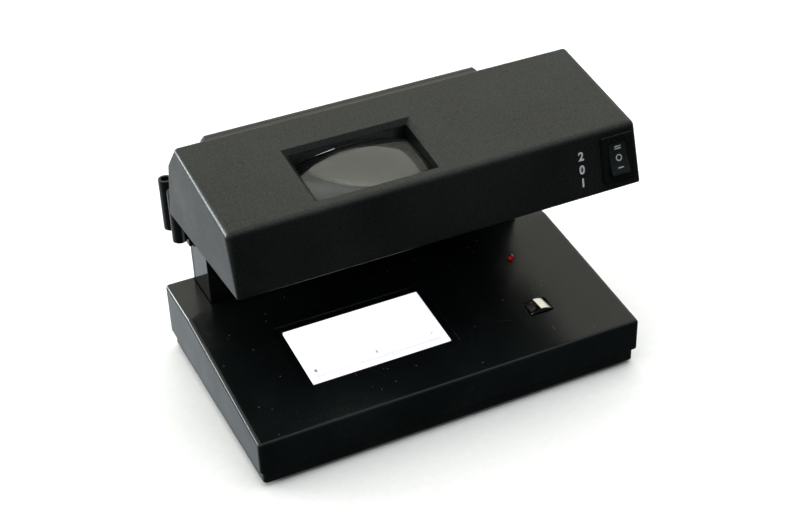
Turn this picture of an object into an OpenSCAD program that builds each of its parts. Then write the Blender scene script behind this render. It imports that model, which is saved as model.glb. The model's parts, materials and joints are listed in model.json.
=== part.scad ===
// Desktop counterfeit bill detector: a sloped base with a backlit bill window and a
// magnetic head, a hollow neck at the rear, and an overhanging head that carries the
// lens, the ultraviolet tube and a three-position rocker switch.
// Millimetres. X runs left to right, Y front to rear, Z up. The origin is the centre of
// the base's footprint, on the table.

/* [Casing] */
// Width of the base and of the head
body_w = 190; // [180:1:240]
// Depth of the base, front to rear
base_d = 118; // [106:1:145]
// Wall thickness of all the shells
wall = 2.2; // [1.8:0.1:2.8]
// Radius of the shells' rounded edges
edge_r = 2; // [1:0.1:3]

/* [Base] */
// Height of the flat strip at the rear of the base
rear_h = 35.4; // [32:0.2:50]
// Height of the base's front edge
front_h = 25.2; // [23:0.2:32]
// Depth of the flat strip behind the crease
strip_d = 32; // [30:1:40]
// Height of the bottom cover
cover_h = 7.9; // [7:0.1:12]
// How far the bottom cover is set in from the base cover
cover_inset = 1.5; // [0.8:0.1:1.6]
// Thickness of the bottom cover's floor
floor_t = 2.4; // [2.2:0.1:3]
// How far the rubber feet stand out below the bottom cover
foot_h = 1.2; // [0.8:0.1:2]
// Diameter of a rubber foot
foot_d = 12; // [8:0.5:14]

/* [Bill window] */
// Width of the lit window
window_w = 68; // [50:1:80]
// Depth of the lit window, along the deck
window_d = 36; // [28:1:42]
// Distance of the window's centre from the left side
window_from_left = 70.5; // [65:0.5:80]
// Place of the window's centre, behind the base's front edge
window_from_front = 42.7; // [38:0.1:46]
// Depth of the light box below the deck
light_box_h = 9; // [7:0.5:10]

/* [Magnetic head] */
// Width of the magnetic head's chrome can
mg_w = 10.8; // [8:0.1:12]
// Depth of the magnetic head's chrome can
mg_d = 8; // [6:0.1:9]
// How far the can's crown stands above the deck
mg_proud = 1.8; // [1:0.1:2.5]
// How far the magnetic head sinks when a bill is rubbed over it
mg_travel = 1; // [0.5:0.1:1.4]

/* [Neck] */
// Depth of the neck, front to rear
neck_d = 23; // [20:0.5:25]
// How far the neck's side walls are set in from the base's sides
neck_inset = 14; // [12:0.5:16]
// How far the neck's wide upper part stands out past its side walls
shoulder_out = 5; // [3:0.5:6]
// Height of the shoulder above the table
shoulder_z = 64; // [58:1:68]
// Height of the neck's top slab above the table
neck_top = 110.4; // [106:0.2:114]

/* [Head] */
// Height of the opening between the base's front edge and the head
bill_gap = 71.5; // [62:0.5:80]
// How far the head's front lower edge is behind the base's front edge
head_set_back = 7; // [2:0.5:12]
// Height of the head's front face, measured along it
head_front_h = 28.7; // [27:0.1:36]
// Backward lean of the head's front face, in degrees
front_lean = 13; // [8:0.5:16]
// Rise of the head's top from front to rear, in degrees
top_slope = 8; // [4:0.5:10]
// Fall of the head's underside from front to rear
under_drop = 7; // [4:0.5:9]
// Height of the head's rear wall, measured along it
head_rear_h = 29.6; // [27:0.1:33]
// Forward lean of the head's rear wall, in degrees
rear_lean = 11.7; // [9:0.1:13]
// Depth of the chamfer between the head's top and its rear wall
chamfer_d = 13; // [9:0.5:16]
// Radius of the head's top front edge
nose_r = 3.5; // [2:0.1:4]

/* [Lens] */
// Width of the lens
lens_w = 55; // [45:0.5:60]
// Depth of the lens
lens_d = 31.4; // [26:0.2:34]
// Thickness of the lens at its centre
lens_t = 7.6; // [6:0.1:8]
// Radius of the lens's convex face
lens_r = 75; // [70:1:110]
// Width of the bevel around the lens opening
bevel_w = 2.3; // [1:0.1:2.6]

/* [Ultraviolet tube] */
// Length of the tube between its cap faces
tube_len = 136; // [120:1:136]
// Diameter of the tube
tube_d = 16; // [13:0.5:16.5]

/* [Rocker switch] */
// Width of the switch's bezel
bezel_w = 15.4; // [14:0.1:17]
// Height of the switch's bezel
bezel_h = 21.6; // [20:0.1:23]
// Turn of the rocker from either end position to the middle, in degrees
rocker_turn = 12; // [8:1:14]

/* [Sleeves] */
// Bore of the two holder sleeves
sleeve_bore = 4; // [3:0.1:4.6]
// Outer diameter of the holder sleeves
sleeve_d = 6.6; // [6:0.1:6.8]
// Length of the holder sleeves
sleeve_h = 26; // [20:1:28]

/* [Clearances] */
// Gap between casing parts that slip into each other
fit_gap = 0.3; // [0.2:0.05:0.4]
// Radial gap between a screw and its pilot hole, and at running pins
run_gap = 0.05; // [0.03:0.01:0.09]

/* [Hidden] */
$fn = 48;
EDGE_FN = 32;
eps = 0.01;
over = 1;

// Outline of the base
y_front = -base_d / 2;
y_rear = base_d / 2;
crease_y = y_rear - strip_d;
deck_a = atan2(rear_h - front_h, crease_y - y_front);
seam_z = foot_h + cover_h;
floor_top = foot_h + floor_t;

// Screws and their pillars
screw_r = 1.25;
screw_head_r = 2.6;
screw_head_h = 1.8;
pilot_r = screw_r + run_gap;
hole_r = screw_r + 0.2;
counter_r = screw_head_r + fit_gap;
seat_t = 3;
long_screw = 10;
short_screw = 8;
board_screw = 6;
pillar_r = 4;
boss_r = 3.4;
boss_z = seam_z + 4;
front_screw = [body_w / 2 - 9.5, y_front + 9.5];
rear_screw = [body_w / 2 - wall - 5.2, y_rear - 8.5];
foot_at = [body_w / 2 - 20, base_d / 2 - 16];

// Bill window
win_x = -body_w / 2 + window_from_left;
win_y = y_front + window_from_front;
win_rim = 3.6;
win_r = 0.4;
win_recess = 0.6;
flange_w = 2.6;
flange_t = 1.5;
box_wall = 1.5;

// Magnetic head
mg_x = body_w / 2 - 38.6;
mg_y = y_front + 27.6;
mg_slot_gap = 0.6;
stem_r = 2;
carriage_h = 4;
mg_side = 2.6;
mg_rim = 1.2;
mg_crown_r = 9;
housing_wall = 1.5;
spring_h = 5.5;
mg_top = deck_z(mg_y) + mg_proud;
carriage_top = deck_under(mg_y - mg_d / 2 - mg_side) - fit_gap;
carriage_z = carriage_top - carriage_h;
housing_floor = carriage_z - mg_travel - spring_h - housing_wall;
spring_z = housing_floor + housing_wall;

// Neck outline
neck_rear_y = y_rear - wall - fit_gap;
neck_y = neck_rear_y - neck_d;
rear_cover_t = 2.5;
cover_sink = 1.4;
neck_back = neck_rear_y - rear_cover_t;
neck_half = body_w / 2 - neck_inset;
upper_half = neck_half + shoulder_out;
slab_half = neck_half - 10.5;
boss_inset = 8;
strip_under = rear_h - wall;
foot_plate_z = strip_under - 2;
shoulder_top = 93;
neck_pillar = [neck_half - 21, neck_back - 9];
lower_boss_z = 46;
neck_bosses = [[neck_half - boss_inset, lower_boss_z], [slab_half - boss_inset, neck_top - boss_inset]];

// Side outline of the head: front foot, nose, crown, rear top, rear foot
function along(p, a, d) = [p[0] + d * sin(a), p[1] + d * cos(a)];
head_bf = [y_front + head_set_back, front_h + bill_gap];
head_tf = along(head_bf, front_lean, head_front_h);
head_r2 = [neck_y, head_bf[1] - under_drop];
head_r1 = along(head_r2, -rear_lean, head_rear_h);
crown_y = head_r1[0] - chamfer_d;
head_tr = [crown_y, head_tf[1] + (crown_y - head_tf[0]) * tan(top_slope)];
head_outline = [head_bf, head_r2, head_r1, head_tr, head_tf];
head_radii = [1, 1, edge_r, edge_r, nose_r];
under_a = atan2(head_r2[1] - head_bf[1], head_r2[0] - head_bf[0]);
under_len = norm(head_r2 - head_bf);
tray_t = 2.2;
tray_sink = 1.2;
mount_s = 11;
mount_depth = 6.8;

// Lens opening
lens_x = win_x;
lens_s = 23.4;
opening_w = lens_w + 2 * fit_gap;
opening_d = lens_d + 2 * fit_gap;
lens_seat = 10;
ledge_w = 2;
ledge_t = 2;
view_s = lens_s + 9.6;
view_w = opening_w + 2;
view_d = opening_d + 4;

// Tube, measured along the head's underside
tube_s = under_len - 21;
tube_up = tray_t + tube_d / 2 + 0.3;
socket_w = 11.5;
socket_d = 15;
socket_h = 17;
cap_len = 9;
pin_r = 1.15;
pin_off = 2.5;
pin_len = 6.8;

lamp_open = [tube_len - 2, tube_d + 3];

// Switch, measured up the head's front face
switch_x = body_w / 2 - 11.2;
switch_s = 14.5;
bezel_t = 1.8;
body_gap = 1.2;
switch_depth = 14;
rocker_w = 9;
rocker_r = 7.4;
rocker_pivot = 0.6;
rocker_win = [rocker_w + 0.4, 2 * rocker_r + 0.4];
rocker_top = 2.5;
dish_r = 34;
dish_t = 0.85;
axle_r = 0.6;

// Screws that hold the tray in the head, measured like the tube
tray_screws = [[-body_w / 2 + 8, 8], [switch_x - 18, 8], [-body_w / 2 + 8, under_len - 9],
    [body_w / 2 - 8, under_len - 9]];

// Lamp ballast, measured like the tube
ballast_s = 24;
ballast_x = switch_x - 46;
ballast_size = [46, 30];
ballast_up = 4;

// Sleeves at the left of the neck
sleeve_plate_t = 1.6;
sleeve_plate_z = 69;
sleeve_x = -upper_half - sleeve_plate_t - sleeve_d / 2 + 0.2;
sleeve_z = 72;
sleeve_y = [neck_y + 4, neck_y + 16];

// Wiring loom
wire_x = slab_half - 36;
wire_hole_r = 4;

// Main board
board_t = 1.6;
board_z = 12;
board_x = [win_x + window_w / 2 + flange_w + 2, body_w / 2 - 10];
board_y = [mg_y + mg_d / 2 + 10, crease_y + 3];
led_at = [body_w / 2 - 33.2, y_front + 62.9];
jack_x = body_w / 2 - 25;
jack_z = seam_z + 9.5;
board_mid = [(board_x[0] + board_x[1]) / 2, (board_y[0] + board_y[1]) / 2];
board_hole = [board_x[1] - board_mid[0] - 4, board_y[1] - board_mid[1] - 4];

function deck_z(y) = front_h + (y - y_front) * tan(deck_a);
function deck_under(y) = deck_z(y) - wall / cos(deck_a);

// Centre of a circle of radius r that touches both sides of the corner at point i of
// an outline that runs anticlockwise
function unit(v) = v / norm(v);
function inward(a, b) = [-unit(b - a)[1], unit(b - a)[0]];
function tucked(pts, i, r) =
    let (n = len(pts), p = pts[i], a = inward(pts[(i + n - 1) % n], p), b = inward(p, pts[(i + 1) % n]))
    p + r * (a + b) / (1 + a * b);

// ---- Frames and shared shapes ----

// Puts its children on the deck, Z square to it
module on_deck(x, y) {
    translate([x, y, deck_z(y)]) rotate([deck_a, 0, 0]) children();
}

// Head's top: Y runs up the slope from the nose, Z outward
module on_top(x, s) {
    translate([x, head_tf[0], head_tf[1]]) rotate([top_slope, 0, 0]) translate([0, s, 0]) children();
}

// Head's front face: Z runs up it, -Y outward
module on_front(x, s) {
    translate([x, head_bf[0], head_bf[1]]) rotate([-front_lean, 0, 0]) translate([0, 0, s]) children();
}

// Head's underside: Y runs rearward along it, Z into the head
module on_under(x, s) {
    translate([x, head_bf[0], head_bf[1]]) rotate([under_a, 0, 0]) translate([0, s, 0]) children();
}

// Head's rear wall: Z runs up it, +Y outward
module on_rear(x, s) {
    translate([x, head_r2[0], head_r2[1]]) rotate([rear_lean, 0, 0]) translate([0, 0, s]) children();
}

// Copies its children at both signs of X
module both_sides() {
    for (side = [0, 1]) mirror([side, 0, 0]) children();
}

// A side outline, points [y, z], extruded over the width w about the middle
module across(w) {
    translate([-w / 2, 0, 0]) rotate([90, 0, 90]) linear_extrude(w) children();
}

// A front outline, points [x, z], extruded from y0 to y1
module between(y0, y1) {
    translate([0, y1, 0]) rotate([90, 0, 0]) linear_extrude(y1 - y0) children();
}

// A box given by its centre in X and Y, and its lowest Z
module block(size, r = 0) {
    if (r > 0) linear_extrude(size[2]) rounded(size[0], size[1], r);
    else translate([-size[0] / 2, -size[1] / 2, 0]) cube(size);
}

// A rectangle with round corners
module rounded(w, d, r) {
    square([w - 2 * r, d], center = true);
    square([w, d - 2 * r], center = true);
    for (x = [-1, 1], y = [-1, 1])
        translate([x * (w / 2 - r), y * (d / 2 - r)]) circle(r);
}

// A pan-head screw: its head sits at z = 0 and above, its shank points down
module screw(len) {
    translate([0, 0, -len]) cylinder(r = screw_r, h = len + eps);
    difference() {
        cylinder(r = screw_head_r, h = screw_head_h);
        for (a = [0, 90]) rotate([0, 0, a]) translate([0, 0, screw_head_h - 0.8]) block([3, 0.8, over]);
    }
}

// A tube swept along a helix about Z
module coil(r, wire_r, turns, pitch) {
    steps = 14;
    sides = 8;
    n = round(turns * steps);
    points = [for (i = [0:n], k = [0:sides - 1]) let (a = 360 * i / steps, b = 360 * k / sides)
        [(r + wire_r * cos(b)) * cos(a), (r + wire_r * cos(b)) * sin(a),
            pitch * i / steps + wire_r * sin(b)]];
    skin = [for (i = [0:n - 1], k = [0:sides - 1])
        let (a = i * sides + k, b = i * sides + (k + 1) % sides) [a + sides, b + sides, b, a]];
    ends = [[for (k = [0:sides - 1]) k], [for (k = [sides - 1:-1:0]) n * sides + k]];
    polyhedron(points, concat(skin, ends));
}

// ---- Base ----

module base_outer() {
    r = edge_r;
    zc = r / cos(deck_a);
    hull() for (x = [-1, 1] * (body_w / 2 - r)) {
        for (y = [y_front + r, y_rear - r]) translate([x, y, seam_z]) cylinder(r = r, h = 1, $fn = EDGE_FN);
        translate([x, y_front + r, deck_z(y_front + r) - zc]) sphere(r, $fn = EDGE_FN);
        translate([x, crease_y + r * tan(deck_a / 2), rear_h - r]) sphere(r, $fn = EDGE_FN);
        translate([x, y_rear - r, rear_h - r]) sphere(r, $fn = EDGE_FN);
    }
}

module base_inner() {
    crease_in = crease_y + wall * tan(deck_a / 2);
    across(body_w - 2 * wall) polygon([
        [y_front + wall, seam_z - over], [y_rear - wall, seam_z - over],
        [y_rear - wall, rear_h - wall], [crease_in, rear_h - wall],
        [y_front + wall, deck_under(y_front + wall)]]);
}

// The four places where the two halves of the base are screwed together
module at_base_screws() {
    for (p = [front_screw, rear_screw]) both_sides() translate([p[0], p[1], 0]) children();
}

module at_neck_pillars() {
    both_sides() translate([neck_pillar[0], neck_pillar[1], 0]) children();
}

module base_cover() color("#1b1b1d") difference() {
    union() {
        difference() {
            base_outer();
            base_inner();
        }
        for (p = [front_screw, rear_screw]) both_sides() translate([p[0], p[1], boss_z])
            cylinder(r = boss_r, h = min(deck_z(p[1]), rear_h) - wall / 2 - boss_z);
    }
    at_base_screws() translate([0, 0, boss_z - over]) cylinder(r = pilot_r, h = long_screw + over);
    on_deck(win_x, win_y) {
        translate([0, 0, -win_recess]) block([window_w + 2 * win_rim, window_d + 2 * win_rim, 5], 1);
        translate([0, 0, -10]) block([window_w + 2 * fit_gap, window_d + 2 * fit_gap, 12], win_r);
    }
    translate([mg_x, mg_y, seam_z]) block([mg_w + 2 * mg_slot_gap, mg_d + 2 * mg_slot_gap, 40], 0.8);
    translate([led_at[0], led_at[1], seam_z]) cylinder(r = 1.5 + run_gap, h = 40);
    translate([0, (neck_y + neck_rear_y) / 2, strip_under - over])
        block([2 * neck_half + 2 * fit_gap, neck_d + 2 * fit_gap, wall + 2 * over]);
    translate([jack_x, y_rear + over, jack_z]) rotate([90, 0, 0]) cylinder(r = 4.6, h = wall + 2 * over);
}

module bottom_cover() color("#202022") {
    r = edge_r;
    w = body_w - 2 * cover_inset;
    d = base_d - 2 * cover_inset;
    lip_w = body_w - 2 * wall - 2 * fit_gap;
    lip_d = base_d - 2 * wall - 2 * fit_gap;
    difference() {
        union() {
            hull() {
                translate([0, 0, foot_h]) linear_extrude(eps)
                    square([w - 2 * r - 1, d - 2 * r - 1], center = true);
                translate([0, 0, foot_h + 1]) linear_extrude(cover_h - 1) rounded(w, d, r);
            }
            translate([0, 0, seam_z - over]) linear_extrude(3 + over) square([lip_w, lip_d], center = true);
        }
        translate([0, 0, floor_top]) linear_extrude(40) square([lip_w - 3.2, lip_d - 3.2], center = true);
        at_base_screws() pillar_bore();
        at_neck_pillars() pillar_bore();
        for (x = [-1, 1], y = [-1, 1]) translate([x * foot_at[0], y * foot_at[1], foot_h - over])
            cylinder(d = foot_d + 2 * run_gap, h = foot_h + over);
    }
    at_base_screws() pillar(boss_z);
    at_neck_pillars() pillar(foot_plate_z);
    for (x = [-1, 1] * board_hole[0], y = [-1, 1] * board_hole[1])
        translate([board_mid[0] + x, board_mid[1] + y, floor_top - eps]) difference() {
            cylinder(r = 2.6, h = board_z - floor_top + eps);
            translate([0, 0, 1]) cylinder(r = pilot_r, h = 40);
        }
}

// A screw pillar from the floor up to height top, counterbored from below
module pillar(top) {
    difference() {
        translate([0, 0, foot_h + 1]) cylinder(r = pillar_r, h = top - foot_h - 1);
        pillar_bore();
        translate([0, 0, top - seat_t - 40]) cylinder(r = counter_r, h = 40);
    }
}

module pillar_bore() {
    cylinder(r = hole_r, h = 60);
    cylinder(r = counter_r, h = foot_h + 4);
}

module rubber_feet() color("#2a2a2a")
    for (x = [-1, 1], y = [-1, 1]) translate([x * foot_at[0], y * foot_at[1], 0])
        cylinder(d = foot_d, h = 2 * foot_h);

// Each head bears on the step in its pillar
module base_screws() color("#8d9096")
    at_base_screws() translate([0, 0, boss_z - seat_t]) rotate([180, 0, 0]) screw(long_screw);

// ---- Bill window ----

module bill_window() color("#f4f6ff") on_deck(win_x, win_y) {
    translate([0, 0, -wall]) block([window_w, window_d, wall - win_recess + 0.2], win_r);
    translate([0, 0, -wall - flange_t])
        block([window_w + 2 * flange_w, window_d + 2 * flange_w, flange_t], 1);
}

module light_box() color("#e9e9e4") on_deck(win_x, win_y) {
    w = window_w + 2 * flange_w;
    d = window_d + 2 * flange_w;
    translate([0, 0, -wall - flange_t - light_box_h]) difference() {
        block([w, d, light_box_h], 1);
        translate([0, 0, -over]) block([w - 2 * box_wall, d - 2 * box_wall, 40], 0.5);
    }
}

module backlight_board() color("#2e6b46") on_deck(win_x, win_y)
    translate([0, 0, -wall - flange_t - light_box_h - board_t])
        block([window_w + 2 * flange_w, window_d + 2 * flange_w, board_t]);

module backlight_leds() color("#f2e6a0") on_deck(win_x, win_y)
    for (i = [-1.5:1.5], j = [-0.5, 0.5])
        translate([i * window_w / 4, j * window_d / 2, -wall - flange_t - light_box_h])
            block([3.5, 2.8, 1.2]);

// ---- Magnetic head ----

module mg_can() color("#d9dbe0") translate([mg_x, mg_y, 0]) difference() {
    intersection() {
        translate([0, 0, carriage_top]) block([mg_w, mg_d, mg_top - carriage_top], 0.6);
        translate([0, mg_d, mg_top - mg_crown_r]) rotate([90, 0, 0])
            cylinder(r = mg_crown_r, h = 2 * mg_d, $fn = 96);
    }
    translate([-mg_w / 4, 0, carriage_top - over]) block([mg_w / 2 - mg_rim, mg_d - 2 * mg_rim, 40]);
}

module mg_core() color("#17171a") translate([mg_x - mg_w / 4, mg_y, carriage_top]) difference() {
    h = mg_top - carriage_top - 1.6;
    block([mg_w / 2 - mg_rim - 2 * run_gap, mg_d - 2 * mg_rim - 2 * run_gap, h]);
    translate([1.2, 0, h - 0.8]) block([0.3, mg_d, over]);
}

module mg_carriage() color("#3a3a3e") translate([mg_x, mg_y, carriage_z]) {
    block([mg_w + 2 * mg_side, mg_d + 2 * mg_side, carriage_h]);
    stem = carriage_z - housing_floor + 1;
    translate([0, 0, -stem]) cylinder(r = stem_r, h = stem + eps);
}

module mg_housing() color("#2c2c30") difference() {
    w = mg_w + 2 * mg_side + 2 * fit_gap;
    d = mg_d + 2 * mg_side + 2 * fit_gap;
    translate([mg_x, mg_y, housing_floor])
        block([w + 2 * housing_wall, d + 2 * housing_wall, 40]);
    translate([mg_x, mg_y, housing_floor + housing_wall]) block([w, d, 60]);
    translate([mg_x, mg_y, 0]) cylinder(r = stem_r + run_gap, h = 40);
    on_deck(mg_x, mg_y) translate([0, 0, -wall]) block([60, 60, 60]);
}

module mg_spring() color("#b9bcc2") {
    wire_r = 0.3;
    turns = 5;
    seat = 0.06;
    rise = carriage_z - spring_z - 2 * wire_r - 2 * seat;
    translate([mg_x, mg_y, spring_z + wire_r + seat]) coil(3.2, wire_r, turns, rise / turns);
}

// ---- Electronics in the base ----

module indicator_led() color("#c01818") translate([led_at[0], led_at[1], 0]) {
    top = deck_z(led_at[1]) + 0.6;
    translate([0, 0, top - 4]) cylinder(r = 1.5, h = 4);
    translate([0, 0, top]) sphere(1.5);
    translate([0, 0, top - 5]) cylinder(r = 1.9, h = 1.2);
    for (x = [-1.27, 1.27]) translate([x, 0, board_z + board_t])
        cylinder(r = 0.3, h = top - 5 - board_z - board_t + eps, $fn = 16);
}

module main_board() color("#2e6b46") difference() {
    translate([board_x[0], board_y[0], board_z])
        cube([board_x[1] - board_x[0], board_y[1] - board_y[0], board_t]);
    at_board_screws() translate([0, 0, -over]) cylinder(r = hole_r, h = board_t + 2 * over);
}

module at_board_screws() {
    for (x = [-1, 1] * board_hole[0], y = [-1, 1] * board_hole[1])
        translate([board_mid[0] + x, board_mid[1] + y, board_z]) children();
}

module board_screws() color("#8d9096")
    at_board_screws() translate([0, 0, board_t]) screw(board_screw);

// Smoothing capacitors, the amplifier, a row of small chips and the wire header
module board_parts() color("#3c4250") translate([board_mid[0], board_mid[1], board_z + board_t]) {
    for (x = [-28, -18]) translate([x, 4, 0]) cylinder(d = 8, h = 10);
    translate([-4, 4, 0]) block([10, 7, 3]);
    for (x = [10, 16, 22]) translate([x, led_at[1] - board_mid[1] - 9.6, 0]) block([3, 5, 1.2]);
    translate([-23, -6, 0]) block([12, 4, 6]);
}

module buzzer() color("#111113")
    translate([board_mid[0] + 2, board_mid[1] - 5, board_z + board_t]) difference() {
        cylinder(d = 9, h = 7);
        translate([0, 0, 5]) cylinder(d = 2, h = 4);
    }

module power_jack() color("#151517") translate([jack_x, y_rear, jack_z]) difference() {
    union() {
        rotate([90, 0, 0]) cylinder(r = 4.6 - run_gap, h = wall + eps);
        translate([-5.5, -wall - 12, -6]) cube([11, 12, 12]);
    }
    translate([0, over, 0]) rotate([90, 0, 0]) difference() {
        cylinder(r = 2.8, h = 10 + over);
        cylinder(r = 1.05, h = 10 + over);
    }
}

// ---- Neck ----

// Front outline of the neck, inset by i, from height z0 up
module neck_front_outline(i, z0) {
    steps = 8;
    flare = [for (k = [0:steps]) let (a = 90 * k / steps)
        [neck_half + shoulder_out * (1 - cos(a)) - i, shoulder_z + (shoulder_out + i) * sin(a) - i]];
    c = i + 2 - 0.6 * i;
    right = concat([[neck_half - i, z0]], flare,
        [[upper_half - i, shoulder_top - c], [upper_half - c, shoulder_top - i],
        [slab_half - i, shoulder_top - i], [slab_half - i, neck_top - c], [slab_half - c, neck_top - i]]);
    polygon(concat(right, [for (k = [len(right) - 1:-1:0]) [-right[k][0], right[k][1]]]));
}

// Side outline of the neck: upright, then leaning with the head's rear wall
module neck_side_outline(i, z0) {
    lean_y = neck_front(neck_top + over);
    polygon([[neck_y + i, z0], [neck_back + over, z0], [neck_back + over, neck_top + over],
        [lean_y + i / cos(rear_lean), neck_top + over], [neck_y + i, head_r2[1] - i * tan(rear_lean / 2)]]);
}

// Outer face of the neck's front wall at height z
function neck_front(z) = neck_y - max(0, z - head_r2[1]) * tan(rear_lean);

module at_neck_bosses() {
    for (p = neck_bosses) both_sides() translate([p[0], neck_back, p[1]]) rotate([90, 0, 0]) children();
}

module at_head_mounts() {
    for (x = [-1, 0, 1] * (slab_half - 20)) on_rear(x, mount_s) children();
}

module neck() color("#0f0f11") difference() {
    union() {
        intersection() {
            difference() {
                between(neck_y - 20, neck_back) neck_front_outline(0, foot_plate_z);
                intersection() {
                    between(neck_y - 20, neck_back + over) neck_front_outline(wall, strip_under);
                    across(3 * body_w) neck_side_outline(wall, strip_under);
                }
            }
            across(3 * body_w) neck_side_outline(0, 0);
        }
        translate([0, (neck_y + neck_back) / 2 - 1, foot_plate_z])
            block([2 * neck_half + 4, neck_back - neck_y + 2, 2]);
        for (p = neck_bosses) both_sides() translate([p[0], neck_back, p[1]]) rotate([90, 0, 0])
            cylinder(r = boss_r, h = neck_back - neck_front(p[1]) - wall / 2);
        at_neck_pillars() translate([0, 0, foot_plate_z]) cylinder(r = pillar_r, h = long_screw + 1);
    }
    at_neck_bosses() translate([0, 0, -over]) cylinder(r = pilot_r, h = 9);
    at_neck_pillars() translate([0, 0, foot_plate_z - over]) cylinder(r = pilot_r, h = 9);
    at_head_mounts() rotate([90, 0, 0]) cylinder(r = hole_r, h = 20, center = true);
    translate([wire_x, neck_back - 9, foot_plate_z - over]) cylinder(r = wire_hole_r, h = 6);
    on_rear(wire_x, mount_s) rotate([90, 0, 0]) cylinder(r = wire_hole_r, h = 20, center = true);
}

module neck_rear_cover() color("#161618") difference() {
    between(neck_back, neck_rear_y) neck_front_outline(0, strip_under);
    at_neck_bosses() {
        translate([0, 0, -rear_cover_t - over]) cylinder(r = hole_r, h = 10);
        translate([0, 0, -rear_cover_t - over]) cylinder(r = counter_r, h = cover_sink + over);
    }
}

module neck_screws() color("#8d9096")
    at_neck_pillars() translate([0, 0, foot_plate_z - seat_t]) rotate([180, 0, 0]) screw(long_screw);

module rear_cover_screws() color("#26262a")
    at_neck_bosses() translate([0, 0, cover_sink - rear_cover_t]) rotate([180, 0, 0]) screw(short_screw);

// Two open sleeves on a plate that is glued to the left of the neck's upper part
module holder_sleeves() color("#1b1b1d") difference() {
    union() {
        translate([-upper_half - sleeve_plate_t, neck_y + 1, sleeve_plate_z])
            cube([sleeve_plate_t, neck_back - neck_y - 2, shoulder_top - 2 - sleeve_plate_z]);
        for (y = sleeve_y) translate([sleeve_x, y, sleeve_z]) cylinder(d = sleeve_d, h = sleeve_h);
    }
    for (y = sleeve_y) translate([sleeve_x, y, sleeve_z - over])
        cylinder(d = sleeve_bore, h = sleeve_h + 2 * over);
}

// ---- Head ----

module head_outer() {
    hull() for (i = [0:len(head_outline) - 1]) {
        r = head_radii[i];
        c = tucked(head_outline, i, r);
        for (x = [-1, 1] * (body_w / 2 - r)) translate([x, c[0], c[1]]) sphere(r, $fn = EDGE_FN);
    }
}

// The hollow of the head cover, open downward
module head_inner(w) {
    tf = tucked(head_outline, 4, wall);
    tr = tucked(head_outline, 3, wall);
    r1 = tucked(head_outline, 2, wall);
    bf = tucked(head_outline, 0, wall);
    r2 = tucked(head_outline, 1, wall);
    across(w) polygon([along(bf, front_lean, -12), along(r2, -rear_lean, -12), r1, tr, tf]);
}

module head_cover() color("#232420") difference() {
    union() {
        difference() {
            head_outer();
            head_inner(body_w - 2 * wall);
        }
        intersection() {
            union() {
                for (p = tray_screws) on_under(p[0], p[1]) translate([0, 0, tray_t])
                    cylinder(r = boss_r, h = 44);
                on_top(lens_x, lens_s) translate([0, 0, -lens_seat - ledge_t])
                    block([opening_w + 2 * wall, opening_d + 2 * wall, lens_seat + ledge_t - wall / 2]);
                at_head_mounts() rotate([90, 0, 0]) translate([0, 0, wall / 2])
                    cylinder(r = boss_r, h = mount_depth - wall / 2);
            }
            head_inner(body_w - wall);
            across(body_w - wall) polygon([for (i = [0:4]) tucked(head_outline, i, wall / 2)]);
        }
    }
    on_top(lens_x, lens_s) {
        hull() {
            translate([0, 0, -bevel_w]) block([opening_w, opening_d, eps]);
            translate([0, 0, eps]) block([opening_w + 2 * bevel_w, opening_d + 2 * bevel_w, eps]);
        }
        translate([0, 0, -lens_seat]) block([opening_w, opening_d, 20]);
        translate([0, 0, -lens_seat - 10]) block([opening_w - 2 * ledge_w, opening_d - 2 * ledge_w, 20]);
    }
    for (p = tray_screws) on_under(p[0], p[1]) cylinder(r = pilot_r, h = tray_t + 9);
    at_head_mounts() rotate([90, 0, 0]) translate([0, 0, -over])
        cylinder(r = pilot_r, h = mount_depth - 0.4 + over);
    on_rear(wire_x, mount_s) rotate([90, 0, 0]) cylinder(r = wire_hole_r, h = 20, center = true);
    slot = 2 * fit_gap - 2 * body_gap;
    on_switch() translate([0, 0, -10]) block([bezel_w + slot, bezel_h + slot, 20]);
}

module head_tray() color("#1a1a1c") {
    front_s = (wall + fit_gap) / cos(front_lean + under_a) + tray_t * tan(front_lean + under_a);
    rear_s = under_len - (wall + fit_gap) / cos(rear_lean - under_a) - tray_t * tan(rear_lean - under_a);
    difference() {
        on_under(0, (front_s + rear_s) / 2)
            block([body_w - 2 * wall - 2 * fit_gap, rear_s - front_s, tray_t]);
        on_under(lens_x, view_s) translate([0, 0, -over]) block([view_w, view_d, 10]);
        on_under(0, tube_s) translate([0, 0, -over]) block([lamp_open[0], lamp_open[1], 10]);
        for (p = tray_screws) on_under(p[0], p[1]) {
            translate([0, 0, -over]) cylinder(r = hole_r, h = 20);
            translate([0, 0, -over]) cylinder(r = counter_r, h = tray_sink + over);
        }
    }
}

module head_screws() color("#26262a")
    for (p = tray_screws) on_under(p[0], p[1]) translate([0, 0, tray_sink]) rotate([180, 0, 0])
        screw(short_screw);

module head_mount_screws() color("#8d9096")
    at_head_mounts() rotate([-90, 0, 0]) translate([0, 0, wall]) screw(short_screw);

// ---- Lens ----

// Plano-convex glass block, flat face down on the ledge
module lens() color("#c9d2d6") on_top(lens_x, lens_s) translate([0, 0, -lens_seat]) intersection() {
    block([lens_w, lens_d, lens_t + over]);
    translate([0, 0, lens_t - lens_r]) sphere(lens_r, $fn = 96);
}

// ---- Lamp ----

module reflector() color("#dfe3e8") on_under(0, tube_s) {
    t = 0.5;
    flange = 4;
    foot = lamp_open[1] / 2 + 1;
    top = tube_up + tube_d / 2 + 2;
    crown = tube_d / 2 - 2;
    side = [[crown, top], [foot, tray_t], [foot + flange, tray_t], [foot + flange, tray_t + t],
        [foot + t, tray_t + t], [crown + t / 2, top + t]];
    across(lamp_open[0] - 6) polygon(concat(side, [for (k = [5:-1:0]) [-side[k][0], side[k][1]]]));
}

module on_tube() {
    on_under(0, tube_s) translate([0, 0, tube_up]) rotate([0, 90, 0]) children();
}

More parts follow.
